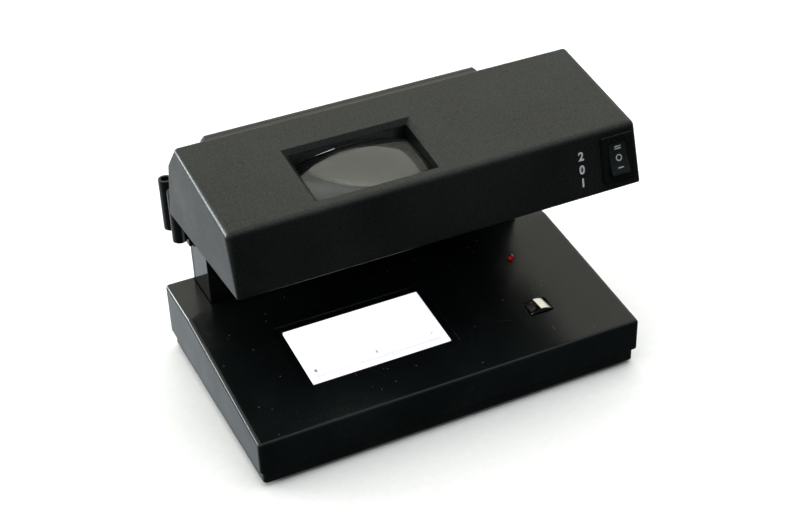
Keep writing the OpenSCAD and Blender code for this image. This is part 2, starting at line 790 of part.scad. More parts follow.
module uv_tube() color("#5a4a86") on_tube() difference() {
    cylinder(d = tube_d - 0.6, h = tube_len - 2 * cap_len + 4, center = true);
    cylinder(d = tube_d - 2.4, h = tube_len - 2 * cap_len, center = true);
}

module tube_caps() color("#c4c6ca") on_tube() for (side = [-1, 1])
    translate([0, 0, side * (tube_len / 2 - cap_len / 2)]) difference() {
        cylinder(d = tube_d, h = cap_len, center = true);
        translate([0, 0, -side * cap_len / 2])
            cylinder(d = tube_d - 0.6 + 0.02, h = 4 + eps, center = true);
    }

module tube_pins() color("#c9a85a") on_tube() for (side = [-1, 1], y = [-1, 1])
    translate([0, y * pin_off, side * (tube_len / 2 + pin_len / 2)])
        cylinder(r = pin_r, h = pin_len, center = true, $fn = 24);

// Rotor sockets: the pins turn in the round pocket and leave through the slot below
module lamp_sockets() color("#f0f0ea") both_sides() on_under(tube_len / 2 + fit_gap, tube_s)
    translate([socket_w / 2, 0, tray_t]) difference() {
        block([socket_w, socket_d, socket_h]);
        translate([-socket_w / 2 - over, 0, tube_up - tray_t]) rotate([0, 90, 0])
            cylinder(r = pin_off + pin_r + 0.1, h = pin_len + over);
        translate([-socket_w / 2 + pin_len / 2 - over / 2, 0, -over])
            block([pin_len + over, 2 * pin_r + 2 * fit_gap, tube_up - tray_t + over]);
    }

module ballast_board() color("#2e6b46") on_under(ballast_x, ballast_s) {
    leg = ballast_size / 2 - [3, 3];
    translate([0, 0, tray_t + ballast_up]) block([ballast_size[0], ballast_size[1], board_t]);
    for (x = [-1, 1], y = [-1, 1]) translate([x * leg[0], y * leg[1], tray_t])
        cylinder(r = 2, h = ballast_up + eps);
}

// Choke, transistor pair and capacitor of the lamp ballast
module ballast_parts() color("#c9b45a") on_under(ballast_x, ballast_s)
    translate([0, 0, tray_t + ballast_up + board_t]) {
    translate([-10, 0, 0]) block([14, 13, 11]);
    for (x = [4, 9]) translate([x, 5, 0]) block([4, 3, 8]);
    translate([14, -6, 0]) cylinder(d = 8, h = 10);
}

// ---- Rocker switch ----

module on_switch() {
    on_front(switch_x, switch_s) rotate([90, 0, 0]) children();
}

module switch_body() color("#141416") on_switch() difference() {
    union() {
        block([bezel_w, bezel_h, bezel_t], 0.8);
        translate([0, 0, -switch_depth])
            block([bezel_w - 2 * body_gap, bezel_h - 2 * body_gap, switch_depth + eps]);
    }
    translate([0, 0, -8]) block([rocker_win[0], rocker_win[1], 20]);
    translate([0, 0, rocker_pivot]) rotate([0, 90, 0])
        cylinder(r = axle_r + run_gap, h = rocker_w + 3.4, center = true, $fn = 32);
}

module switch_terminals() color("#cdb26a") on_switch()
    for (y = [-6, 0, 6]) translate([0, y, -switch_depth - 7]) block([4.8, 0.8, 7]);

// Rocker in its rest position, pressed in at the top
module rocker() color("#1e1e20") on_switch() translate([0, 0, rocker_pivot])
    rotate([-rocker_turn, 0, 0]) {
    intersection() {
        rotate([0, 90, 0]) cylinder(r = rocker_r, h = rocker_w, center = true, $fn = 96);
        difference() {
            translate([0, 0, rocker_top - 6.9]) block([rocker_w, 2 * rocker_r, 6.9]);
            translate([0, 0, dish_r + rocker_top - dish_t]) rotate([0, 90, 0])
                cylinder(r = dish_r, h = 2 * rocker_w, center = true, $fn = 180);
            for (y = [-1, 1]) translate([0, y * 7.2, -7]) rotate([y * 20, 0, 0])
                block([2 * rocker_w, 5, 7]);
        }
    }
    rotate([0, 90, 0]) cylinder(r = axle_r, h = rocker_w + 3, center = true, $fn = 32);
}

// ---- Wiring ----

// A straight run of wire from a to b, with a round joint at b
module wire_run(a, b, r) {
    v = b - a;
    translate(b) sphere(r + 0.05, $fn = 24);
    translate(a) rotate([0, acos(v[2] / norm(v)), atan2(v[1], v[0])])
        cylinder(r = r, h = norm(v), $fn = 24);
}

// Loom from the main board up the neck, through its wall and over the reflector
module wiring() color("#7a1f1f") {
    r = 1.4;
    up_y = neck_back - 9;
    low_z = board_z + board_t + 4;
    wall_z = head_r2[1] + mount_s * cos(rear_lean);
    over_z = head_r2[1] + 29;
    ballast_y = head_bf[0] + ballast_s + 10;
    ballast_z = head_bf[1] + (ballast_y - head_bf[0]) * tan(under_a) + (tray_t + ballast_up + board_t)
        / cos(under_a) + r + fit_gap;
    route = [[wire_x, board_y[1] - 6, low_z], [wire_x, up_y, low_z], [wire_x, up_y, wall_z],
        [wire_x, neck_y - 7, wall_z], [wire_x, neck_y - 12, over_z], [wire_x, ballast_y, over_z],
        [wire_x, ballast_y, ballast_z]];
    translate(route[0]) sphere(r + 0.05, $fn = 24);
    for (i = [1:len(route) - 1]) wire_run(route[i - 1], route[i], r);
}

base_cover();
bottom_cover();
rubber_feet();
base_screws();
bill_window();
light_box();
backlight_board();
backlight_leds();
mg_can();
mg_core();
mg_carriage();
mg_housing();
mg_spring();
indicator_led();
main_board();
board_parts();
buzzer();
power_jack();
board_screws();
neck();
neck_rear_cover();
neck_screws();
rear_cover_screws();
holder_sleeves();
head_cover();
head_tray();
head_screws();
head_mount_screws();
lens();
reflector();
uv_tube();
tube_caps();
tube_pins();
lamp_sockets();
ballast_board();
ballast_parts();
switch_body();
switch_terminals();
rocker();
wiring();
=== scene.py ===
"""Looks for the desktop counterfeit bill detector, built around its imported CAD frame.
X runs left to right, Y front to rear and Z up, in metres, with the origin on the table under
the middle of the base. Places come from the CAD nodes' boxes and joints where they can."""
import json
import math

import bmesh
import bpy
from mathutils import Matrix, Vector

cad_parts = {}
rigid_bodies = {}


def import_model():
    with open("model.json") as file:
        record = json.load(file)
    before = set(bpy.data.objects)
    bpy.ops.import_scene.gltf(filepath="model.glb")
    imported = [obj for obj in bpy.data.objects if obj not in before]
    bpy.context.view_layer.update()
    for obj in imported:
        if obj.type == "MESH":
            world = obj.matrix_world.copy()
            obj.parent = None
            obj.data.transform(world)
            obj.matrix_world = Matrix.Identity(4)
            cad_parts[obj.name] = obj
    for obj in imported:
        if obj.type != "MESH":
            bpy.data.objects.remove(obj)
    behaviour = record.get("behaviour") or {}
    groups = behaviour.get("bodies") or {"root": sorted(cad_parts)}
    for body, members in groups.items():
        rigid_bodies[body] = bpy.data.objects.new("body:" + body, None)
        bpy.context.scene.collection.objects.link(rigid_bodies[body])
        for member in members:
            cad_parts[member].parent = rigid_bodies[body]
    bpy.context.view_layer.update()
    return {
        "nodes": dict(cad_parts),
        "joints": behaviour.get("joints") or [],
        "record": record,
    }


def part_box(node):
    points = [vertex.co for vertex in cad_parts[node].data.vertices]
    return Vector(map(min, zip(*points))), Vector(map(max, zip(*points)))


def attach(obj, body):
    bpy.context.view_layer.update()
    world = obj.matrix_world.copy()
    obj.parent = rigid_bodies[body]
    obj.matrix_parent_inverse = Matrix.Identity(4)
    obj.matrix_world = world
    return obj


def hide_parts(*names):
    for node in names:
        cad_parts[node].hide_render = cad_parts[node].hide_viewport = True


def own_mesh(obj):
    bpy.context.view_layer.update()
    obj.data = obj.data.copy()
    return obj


for leftover in list(bpy.data.objects):
    bpy.data.objects.remove(leftover)

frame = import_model()
NODES = frame["nodes"]
MM = 0.001
BODY_OF = {node: body for body, nodes in frame["record"]["behaviour"]["bodies"].items()
           for node in nodes}
SLOT_OF = {row["node"]: row["material_slot"] for row in frame["record"]["subparts"]}

# Angles and places of the CAD part that its boxes don't give. The lean and the rocker's angle at
# rest are in degrees, the slopes in radians. The nose is the head's top front edge.
FRONT_LEAN, ROCKER_REST = 13, -12
HEAD_SLOPE = math.radians(8)
HEAD_NOSE_Y, HEAD_NOSE_Z = -45.54 * MM, 124.66 * MM
DECK_FRONT_HEIGHT, DECK_REAR_HEIGHT, DECK_RUN = 25.2, 35.4, 86
DECK_SLOPE = math.atan2(DECK_REAR_HEIGHT - DECK_FRONT_HEIGHT, DECK_RUN)
DISH_RADIUS, DISH_BOTTOM = 34 * MM, 1.65 * MM

MERGE_DISTANCE = 2e-6
PRINT_THICKNESS = 0.02 * MM


# ---- Camera, light and floor ----

def add_camera():
    """A long lens at the front left, a third of the way up to straight overhead."""
    azimuth, elevation, roll = (math.radians(a) for a in (-24.7, 34.87, -1.95))
    target, distance = Vector((0.0009, 0.0, 0.0511)), 0.738
    back = Vector((math.sin(azimuth) * math.cos(elevation),
                   -math.cos(azimuth) * math.cos(elevation), math.sin(elevation)))
    right = (-back).cross(Vector((0, 0, 1))).normalized()
    up = back.cross(right)
    turned_right = math.cos(roll) * right + math.sin(roll) * up
    turned_up = math.cos(roll) * up - math.sin(roll) * right
    data = bpy.data.cameras.new("camera")
    data.sensor_width, data.lens = 36, 71.98
    data.clip_start = 0.01
    camera = bpy.data.objects.new("camera", data)
    rows = Matrix((turned_right, turned_up, back)).transposed().to_4x4()
    camera.matrix_world = Matrix.Translation(target + back * distance) @ rows
    bpy.context.scene.collection.objects.link(camera)
    bpy.context.scene.camera = camera


def add_softbox(name, place, aim, size, power, colour, mirrored=True):
    """A rectangular light; only a mirrored one shows in glossy surfaces."""
    data = bpy.data.lights.new(name, "AREA")
    data.shape = "RECTANGLE"
    data.size, data.size_y = size
    data.energy = power
    data.color = colour
    light = bpy.data.objects.new(name, data)
    light.location = place
    light.rotation_euler = (Vector(aim) - Vector(place)).to_track_quat("-Z", "Y").to_euler()
    light.visible_glossy = mirrored
    light.visible_transmission = False
    bpy.context.scene.collection.objects.link(light)


# Brightness of the room from the side away from the light to the side towards it.
ROOM_AXIS = Vector((-0.2, 0.72, 0.66)).normalized()
ROOM_STOPS = (
    (0.0, (0.006, 0.008, 0.008)), (0.28, (0.02, 0.025, 0.026)), (0.46, (0.24, 0.25, 0.25)),
    (0.60, (0.56, 0.61, 0.65)), (0.80, (0.80, 0.80, 0.71)), (1.0, (0.87, 0.87, 0.76)),
)
# The skirting darkens a band just below the horizon.
SKIRTING_STOPS = tuple((position, (level, level, level)) for position, level in (
    (0.0, 1.0), (0.28, 1.0), (0.36, 0.12), (0.44, 0.12), (0.50, 1.0)))
ROOM_STRENGTH = 1.15


def ramp_over(tree, direction, stops):
    """Colours along a direction's cosine, from -1 at the first stop to 1 at the last."""
    shift = tree.nodes.new("ShaderNodeMapRange")
    shift.inputs["From Min"].default_value = -1
    ramp = tree.nodes.new("ShaderNodeValToRGB")
    elements = ramp.color_ramp.elements
    while len(elements) < len(stops):
        elements.new(0.5)
    for element, (position, colour) in zip(elements, stops):
        element.position = position
        element.color = (*colour, 1)
    tree.links.new(direction, shift.inputs["Value"])
    tree.links.new(shift.outputs["Result"], ramp.inputs["Fac"])
    return ramp.outputs["Color"]


def add_world():
    """A soft room: bright behind and above the object, dim in front, with a dark skirting."""
    world = bpy.data.worlds.new("studio")
    bpy.context.scene.world = world
    world.use_nodes = True
    tree = world.node_tree
    background = tree.nodes["Background"]
    coords = tree.nodes.new("ShaderNodeTexCoord").outputs["Generated"]
    towards = tree.nodes.new("ShaderNodeVectorMath")
    towards.operation = "DOT_PRODUCT"
    towards.inputs[1].default_value = ROOM_AXIS
    height = tree.nodes.new("ShaderNodeSeparateXYZ")
    strength = tree.nodes.new("ShaderNodeMath")
    strength.operation = "MULTIPLY"
    strength.inputs[1].default_value = ROOM_STRENGTH
    tree.links.new(coords, towards.inputs[0])
    tree.links.new(coords, height.inputs[0])
    tree.links.new(ramp_over(tree, towards.outputs["Value"], ROOM_STOPS), background.inputs["Color"])
    tree.links.new(ramp_over(tree, height.outputs["Z"], SKIRTING_STOPS), strength.inputs[0])
    tree.links.new(strength.outputs[0], background.inputs["Strength"])


def add_floor(material):
    """A wide plain sheet at table height, which glossy surfaces don't mirror."""
    mesh = bpy.data.meshes.new("floor")
    half = 5
    mesh.from_pydata([(-half, -half, 0), (half, -half, 0), (half, half, 0), (-half, half, 0)], [],
                     [(0, 1, 2, 3)])
    mesh.materials.append(material)
    floor = bpy.data.objects.new("floor", mesh)
    floor.visible_glossy = False
    bpy.context.scene.collection.objects.link(floor)


# ---- Materials ----

class Finish:
    """A Principled material with short calls for the procedural nodes that feed it."""

    def __init__(self, name, colour, roughness, **sockets):
        self.material = bpy.data.materials.new(name)
        self.material.use_nodes = True
        self.tree = self.material.node_tree
        self.shader = self.tree.nodes["Principled BSDF"]
        self.shader.inputs["Base Color"].default_value = (*colour, 1)
        self.shader.inputs["Roughness"].default_value = roughness
        for socket, value in sockets.items():
            self.shader.inputs[socket.replace("_", " ")].default_value = value
        self.coords = self.node("ShaderNodeTexCoord").outputs["Object"]
        self.height = None

    def node(self, kind, inputs=None, **properties):
        made = self.tree.nodes.new(kind)
        for key, value in properties.items():
            setattr(made, key, value)
        for socket, value in (inputs or {}).items():
            if isinstance(value, bpy.types.NodeSocket):
                self.tree.links.new(value, made.inputs[socket])
            else:
                made.inputs[socket].default_value = value
        return made

    def feed(self, socket, source):
        self.tree.links.new(source, self.shader.inputs[socket])

    def noise(self, scale, detail=2.0, stretch=(1, 1, 1), roughness=0.5):
        coords = self.coords
        if tuple(stretch) != (1, 1, 1):
            coords = self.node("ShaderNodeMapping", {"Vector": coords, "Scale": stretch}).outputs[0]
        made = self.node("ShaderNodeTexNoise", {"Vector": coords, "Scale": scale, "Detail": detail,
                                                "Roughness": roughness})
        return made.outputs["Fac"]

    def span(self, value, low, high, to_low=0.0, to_high=1.0):
        """Maps value from low..high to to_low..to_high, clamped."""
        made = self.node("ShaderNodeMapRange", {"Value": value, "From Min": low, "From Max": high,
                                                "To Min": to_low, "To Max": to_high})
        return made.outputs["Result"]

    def spread(self, noise, to_low=0.0, to_high=1.0):
        """Maps the usual reach of a noise to to_low..to_high, clamped."""
        return self.span(noise, 0.3, 0.7, to_low, to_high)

    def maths(self, operation, a, b=0.0):
        return self.node("ShaderNodeMath", {0: a, 1: b}, operation=operation).outputs[0]

    def mix(self, factor, a, b):
        """Colour a where factor is 0 and colour b where it is 1."""
        made = self.node("ShaderNodeMix", data_type="RGBA")
        colour_a, colour_b, result = made.inputs[6], made.inputs[7], made.outputs[2]
        for socket, value in ((made.inputs["Factor"], factor), (colour_a, a), (colour_b, b)):
            if isinstance(value, bpy.types.NodeSocket):
                self.tree.links.new(value, socket)
            elif isinstance(value, (tuple, list)):
                socket.default_value = (*value, 1)
            else:
                socket.default_value = value
        return result

    def raise_by(self, value, amount):
        """Adds value times amount, in metres, to the surface relief."""
        relief = self.maths("MULTIPLY", value, amount)
        self.height = relief if self.height is None else self.maths("ADD", self.height, relief)

    def glow(self, strength):
        self.shader.inputs["Emission Strength"].default_value = strength

    def done(self):
        """Joins up the relief and gives the material."""
        if self.height is not None:
            bump = self.node("ShaderNodeBump", {"Height": self.height, "Distance": 1.0,
                                                "Strength": 1.0})
            self.feed("Normal", bump.outputs["Normal"])
        return self.material


def facing_up(finish):
    """1 on surfaces that face up, where dust settles, and 0 on the rest."""
    normal = finish.node("ShaderNodeNewGeometry").outputs["Normal"]
    z = finish.node("ShaderNodeSeparateXYZ", {0: normal}).outputs["Z"]
    return finish.span(z, 0.75, 0.95)


# Scales of the plastic's noises and cells, in repeats per metre.
CLOUD_SCALE, WEAR_SCALE, GRAIN_SCALE, SPECKLE_SCALE = 28, 60, 2100, 1500
SCRATCH_CELLS, SCRATCH_PATCHES, DUST_CELLS = 55, 45, 640
SCRATCH_COLOUR, DUST_COLOUR = (0.16, 0.17, 0.17), (0.30, 0.30, 0.27)
SCRATCH_DEPTH = 6e-6


def hairlines(finish):
    """1 on thin scratches, which lie in patches on surfaces that face up, and 0 elsewhere."""
    cells = finish.node("ShaderNodeTexVoronoi", {"Scale": SCRATCH_CELLS, "Vector": finish.coords},
                        feature="DISTANCE_TO_EDGE").outputs["Distance"]
    line = finish.span(cells, 0.0, 0.006, 1.0, 0.0)
    patch = finish.span(finish.noise(SCRATCH_PATCHES, 1), 0.62, 0.66)
    return finish.maths("MULTIPLY", finish.maths("MULTIPLY", line, patch), facing_up(finish))


def dust_specks(finish):
    """1 on a few small specks, in about 3 of 100 cells, on surfaces that face up."""
    specks = finish.node("ShaderNodeTexVoronoi", {"Scale": DUST_CELLS, "Vector": finish.coords},
                         feature="F1")
    spot = finish.span(specks.outputs["Distance"], 0.10, 0.16, 1.0, 0.0)
    chance = finish.node("ShaderNodeSeparateColor", {0: specks.outputs["Color"]}).outputs[0]
    rare = finish.span(chance, 0.968, 0.972)
    return finish.maths("MULTIPLY", finish.maths("MULTIPLY", spot, rare), facing_up(finish))


def moulded(name, colour, roughness, grain=6e-6, dust=0.0, scratches=0.0, shade=0.25, level=0.5,
            speckling=0.16):
    """Textured moulded plastic: spark-eroded grain, slight cloudiness, dust and hairlines."""
    finish = Finish(name, colour, roughness)
    darker = tuple(c * (1 - shade) for c in colour)
    lighter = tuple(c * (1 + shade) for c in colour)
    tone = finish.mix(finish.spread(finish.noise(CLOUD_SCALE, 3)), darker, lighter)
    fine = finish.noise(GRAIN_SCALE, 3, roughness=0.65)
    wear = finish.spread(finish.noise(WEAR_SCALE, 3), roughness - 0.04, roughness + 0.04)
    rough = finish.maths("ADD", wear, finish.spread(fine, -0.03, 0.03))
    finish.raise_by(fine, grain)
    speckle = finish.noise(SPECKLE_SCALE, 2, roughness=0.7)
    finish.feed("Specular IOR Level",
                finish.spread(speckle, level * (1 - speckling), level * (1 + speckling)))
    if scratches:
        hairline = hairlines(finish)
        tone = finish.mix(finish.maths("MULTIPLY", hairline, scratches), tone, SCRATCH_COLOUR)
        finish.raise_by(hairline, -SCRATCH_DEPTH)
    if dust:
        lint = dust_specks(finish)
        tone = finish.mix(finish.maths("MULTIPLY", lint, dust), tone, DUST_COLOUR)
        rough = finish.maths("ADD", rough, finish.maths("MULTIPLY", lint, 0.3))
    finish.feed("Base Color", tone)
    finish.feed("Roughness", rough)
    return finish.done()


def brushed(name, colour, roughness, stretch=(1, 1, 1), scale=900, relief=1.5e-6):
    """Metal with fine lines or a fine cast, and slightly uneven gloss."""
    finish = Finish(name, colour, roughness, Metallic=1.0)
    lines = finish.noise(scale, 2, stretch)
    stain = finish.noise(140, 3)
    finish.feed("Base Color", finish.mix(finish.span(stain, 0.35, 0.7), colour,
                                         tuple(c * 0.78 for c in colour)))
    finish.feed("Roughness", finish.spread(lines, roughness * 0.8, roughness * 1.3))
    finish.raise_by(lines, relief)
    return finish.done()


def diffuser():
    """Opal sheet, brightest in its middle, lit from below."""
    finish = Finish("lit_diffuser", (0.5, 0.5, 0.52), 0.3)
    low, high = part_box("bill_window")
    middle, half = (low + high) / 2, (high - low) / 2
    place = finish.node("ShaderNodeSeparateXYZ", {0: finish.coords})
    u = finish.maths("ABSOLUTE", finish.maths("SUBTRACT", place.outputs["X"], middle.x))
    v = finish.maths("ABSOLUTE", finish.maths("SUBTRACT", place.outputs["Y"], middle.y))
    edge = finish.maths("MAXIMUM", finish.maths("DIVIDE", u, half.x),
                        finish.maths("DIVIDE", v, half.y))
    fading = finish.span(edge, 0.72, 1.0, 1.0, 0.84)
    cloudy = finish.spread(finish.noise(900, 2), 0.985, 1.0)
    level = finish.maths("MULTIPLY", fading, cloudy)
    tint = finish.mix(finish.span(level, 0.8, 1.0), (0.82, 0.80, 0.95), (1.0, 1.0, 1.0))
    finish.feed("Emission Color", tint)
    finish.glow(1.05)
    finish.raise_by(finish.noise(2600, 1), 1e-6)
    return finish.done()


def optical_glass():
    """Clear dense glass with a faint wiping smear."""
    finish = Finish("lens_glass", (0.93, 0.96, 0.95), 0.0, Transmission_Weight=1.0, IOR=1.62)
    smear = finish.noise(70, 3, (1, 2.6, 1))
    finish.feed("Roughness", finish.span(smear, 0.55, 0.8, 0.0, 0.02))
    return finish.done()


def filter_glass():
    """Deep violet glass of the ultraviolet tube, with a faint powder bloom inside."""
    finish = Finish("uv_glass", (0.035, 0.02, 0.10), 0.09, Coat_Weight=0.6, Coat_Roughness=0.04)
    bloom = finish.noise(90, 3, (0.4, 1, 1))
    finish.feed("Base Color", finish.mix(finish.span(bloom, 0.35, 0.7), (0.028, 0.016, 0.085),
                                         (0.06, 0.04, 0.15)))
    finish.feed("Roughness", finish.span(bloom, 0.35, 0.7, 0.07, 0.14))
    return finish.done()


def red_lens():
    """Red resin with a painted glow on its left front half, standing in for light falling through
    it.
    """
    finish = Finish("red_led", (0.10, 0.001, 0.002), 0.10, Coat_Weight=1.0, Coat_Roughness=0.03)
    core = finish.noise(1400, 2)
    finish.feed("Base Color", finish.mix(finish.span(core, 0.35, 0.65), (0.05, 0.001, 0.001),
                                         (0.16, 0.003, 0.002)))
    low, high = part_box("indicator_led")
    place = finish.node("ShaderNodeSeparateXYZ", {0: finish.coords})
    across = finish.maths("SUBTRACT", place.outputs["X"], (low.x + high.x) / 2)
    along = finish.maths("SUBTRACT", place.outputs["Y"], (low.y + high.y) / 2)
    # Painted light: emission only on the left front half, fading out towards the right rear.
    side = finish.span(finish.maths("ADD", across, along), -1.9 * MM, -0.2 * MM, 1.0, 0.0)
    lit = finish.maths("MULTIPLY", side, finish.span(core, 0.3, 0.6, 0.5, 1.0))
    finish.feed("Emission Color", finish.mix(lit, (0.01, 0.0, 0.0), (0.62, 0.006, 0.004)))
    finish.glow(0.30)
    return finish.done()


def circuit_board():
    """Green lacquer over copper tracks."""
    finish = Finish("circuit_board", (0.015, 0.12, 0.05), 0.3, Coat_Weight=0.5,
                    Coat_Roughness=0.15)
    tracks = finish.node("ShaderNodeTexBrick", {
        "Vector": finish.coords, "Scale": 300, "Mortar Size": 0.09, "Brick Width": 1.7,
        "Row Height": 0.45, "Color1": (0, 0, 0, 1), "Color2": (0, 0, 0, 1),
        "Mortar": (1, 1, 1, 1)})
    cloud = finish.span(finish.noise(160, 2), 0.4, 0.6)
    copper = finish.maths("MULTIPLY", tracks.outputs["Fac"], cloud)
    finish.feed("Base Color", finish.mix(copper, (0.012, 0.10, 0.04), (0.05, 0.24, 0.08)))
    finish.raise_by(copper, 2e-5)
    return finish.done()


def floor_paper():
    """White studio paper that stays bright as it runs away from the object."""
    finish = Finish("floor_paper", (0.9, 0.9, 0.9), 0.9)
    fibre = finish.noise(260, 4)
    finish.feed("Base Color", finish.mix(finish.spread(fibre), (0.88, 0.88, 0.885),
                                         (0.915, 0.915, 0.915)))
    finish.raise_by(fibre, 2e-5)
    away = finish.node("ShaderNodeVectorMath", {0: finish.coords}, operation="LENGTH")
    finish.shader.inputs["Emission Color"].default_value = (0.98, 1.0, 1.0, 1)
    finish.feed("Emission Strength", finish.span(away.outputs["Value"], 0.45, 1.6, 0.0, 0.55))
    return finish.done()


def ink(name, colour):
    """Screen-printed ink, slightly broken where it sits on the plastic's grain."""
    finish = Finish(name, colour, 0.55)
    worn = finish.span(finish.noise(1500, 3), 0.35, 0.75)
    finish.feed("Base Color", finish.mix(worn, colour, tuple(c * 0.62 for c in colour)))
    finish.raise_by(finish.noise(3200, 1), 3e-6)
    return finish.done()


def scale_ink():
    """Pale violet-grey print that the backlight nearly washes out."""
    finish = Finish("scale_ink", (0.1, 0.1, 0.12), 0.5)
    worn = finish.span(finish.noise(400, 2), 0.35, 0.7)
    finish.feed("Emission Color", finish.mix(worn, (0.10, 0.07, 0.16), (0.52, 0.47, 0.60)))
    finish.glow(0.9)
    return finish.done()


MATERIALS = {
    "black_abs": moulded("black_abs", (0.0042, 0.0060, 0.0060), 0.23, grain=1.0e-5, dust=0.8,
                         scratches=0.12, level=0.43),
    "head_abs": moulded("head_abs", (0.0052, 0.0072, 0.0066), 0.36, grain=1.5e-5, dust=0.25,
                        speckling=0.42),
    "black_abs_cover": moulded("black_abs_cover", (0.0055, 0.0068, 0.0068), 0.34,
                               speckling=0.3),
    "gloss_black": moulded("gloss_black", (0.004, 0.004, 0.0042), 0.07, grain=4e-7, dust=0.4),
    "foot_rubber": moulded("foot_rubber", (0.018, 0.018, 0.018), 0.75, grain=1.2e-5),
    "zinc_steel": brushed("zinc_steel", (0.55, 0.56, 0.57), 0.3),
    "black_steel": brushed("black_steel", (0.05, 0.05, 0.052), 0.35),
    "lit_diffuser": diffuser(),
    "white_plastic": moulded("white_plastic", (0.68, 0.68, 0.64), 0.38, shade=0.05),
    "circuit_board": circuit_board(),
    "led_package": moulded("led_package", (0.75, 0.62, 0.22), 0.35, shade=0.15),
    "chrome": brushed("chrome", (0.86, 0.84, 0.79), 0.06, relief=3e-7),
    "core_black": moulded("core_black", (0.006, 0.006, 0.007), 0.35),
    "grey_plastic": moulded("grey_plastic", (0.05, 0.05, 0.055), 0.42),
    "spring_steel": brushed("spring_steel", (0.55, 0.55, 0.57), 0.22),
    "red_led": red_lens(),
    "components": moulded("components", (0.055, 0.065, 0.10), 0.33, shade=0.5),
    "lens_glass": optical_glass(),
    "reflector_sheet": brushed("reflector_sheet", (0.82, 0.83, 0.85), 0.14, (0.05, 1, 1), 2200),
    "uv_glass": filter_glass(),
    "cap_aluminium": brushed("cap_aluminium", (0.70, 0.71, 0.73), 0.28, (1, 0.2, 0.2), 1500),
    "pin_brass": brushed("pin_brass", (0.78, 0.60, 0.28), 0.22),
    "switch_plastic": moulded("switch_plastic", (0.0030, 0.0040, 0.0040), 0.30, grain=5e-6,
                              level=0.4),
    "rocker_plastic": moulded("rocker_plastic", (0.0055, 0.0070, 0.0070), 0.33, grain=5e-6,
                              level=0.45),
    "wire_insulation": moulded("wire_insulation", (0.30, 0.015, 0.012), 0.35, shade=0.1),
}
LABEL_INK = ink("label_ink", (0.40, 0.41, 0.44))
MARK_INK = ink("mark_ink", (0.26, 0.29, 0.29))
SCALE_INK = scale_ink()


# ---- Mesh tools ----

def as_mesh(bm, name):
    """The finished mesh of a bmesh, which is let go."""
    mesh = bpy.data.meshes.new(name)
    bm.to_mesh(mesh)
    bm.free()
    return mesh


def finish_piece(name, mesh, slot, body, replaced=(), material=None):
    """Gives a mesh its material, the slot's unless one is given, and its body, and hides the CAD
    nodes that it stands for.
    """
    mesh.materials.clear()
    mesh.materials.append(material or MATERIALS[slot])
    piece = bpy.data.objects.new(name, mesh)
    bpy.context.scene.collection.objects.link(piece)
    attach(piece, body)
    if replaced:
        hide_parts(*replaced)
    return piece


def shade_by_angle(bm, angle=38):
    """Smooth shading, with edges above the angle in degrees kept sharp."""
    limit = math.radians(angle)
    for face in bm.faces:
        face.smooth = True
    for edge in bm.edges:
        edge.smooth = len(edge.link_faces) == 2 and edge.calc_face_angle(0) < limit


def level_normals(piece):
    """Keeps flat faces flat in the shading, next to their rounded edges."""
    modifier = piece.modifiers.new("level_normals", "WEIGHTED_NORMAL")
    modifier.keep_sharp = True
    modifier.weight = 100


def round_ends(bm, width):
    """Rounds the top edges at the front and rear of a domed can."""
    crown = max(v.co.z for v in bm.verts) - 2.4 * MM
    ends = min(v.co.y for v in bm.verts), max(v.co.y for v in bm.verts)

    def at_end(edge):
        return any(all(abs(v.co.y - end) < 0.02 * MM and v.co.z > crown for v in edge.verts)
                   for end in ends)

    chosen = [e for e in bm.edges
              if len(e.link_faces) == 2 and e.calc_face_angle(0) > 0.5 and at_end(e)]
    bmesh.ops.bevel(bm, geom=chosen, offset=width * MM, segments=5, profile=0.5, affect="EDGES",
                    clamp_overlap=True)


def eased(node, width, segments=2, angle=26):
    """Stands for a CAD node, with its sharp edges rounded the way a mould leaves them."""
    bm = bmesh.new()
    bm.from_mesh(NODES[node].data)
    bmesh.ops.remove_doubles(bm, verts=bm.verts, dist=MERGE_DISTANCE)
    bmesh.ops.dissolve_limit(bm, angle_limit=math.radians(0.8), verts=bm.verts, edges=bm.edges)
    if node in END_RADII:
        round_ends(bm, END_RADII[node])
    sharp = [e for e in bm.edges
             if len(e.link_faces) == 2 and e.calc_face_angle(0) > math.radians(angle)]
    bmesh.ops.bevel(bm, geom=sharp, offset=width * MM, segments=segments, profile=0.5,
                    affect="EDGES", clamp_overlap=False)
    bmesh.ops.triangulate(bm, faces=[f for f in bm.faces if len(f.verts) > 4])
    shade_by_angle(bm)
    piece = finish_piece(f"{node}_skin", as_mesh(bm, f"{node}_eased"), SLOT_OF[node], BODY_OF[node],
                         [node])
    level_normals(piece)


# ---- The object ----

# Widths of the eased edges, and radii of a can's rounded ends, in mm.
EDGES = {
    "base_cover": 0.22, "bottom_cover": 0.25, "head_cover": 0.22, "head_tray": 0.25, "neck": 0.3,
    "neck_rear_cover": 0.3, "holder_sleeves": 0.25, "switch_body": 0.25, "rocker": 0.3,
    "mg_can": 0.14, "bill_window": 0.15, "lamp_sockets": 0.4,
}
END_RADII = {"mg_can": 0.85}


def switch_frame(tilt=0.0, out=0.0):
    """Frame at the rocker's axle: X right, Y up the head's front face, Z outward by out mm."""
    joint = next(j for j in frame["joints"] if j["name"] == "rocker_tilt")
    turn = Matrix.Rotation(math.radians(90 - FRONT_LEAN + tilt), 4, "X")
    return Matrix.Translation(Vector(joint["pos_m"])) @ turn @ Matrix.Translation((0, 0, out * MM))


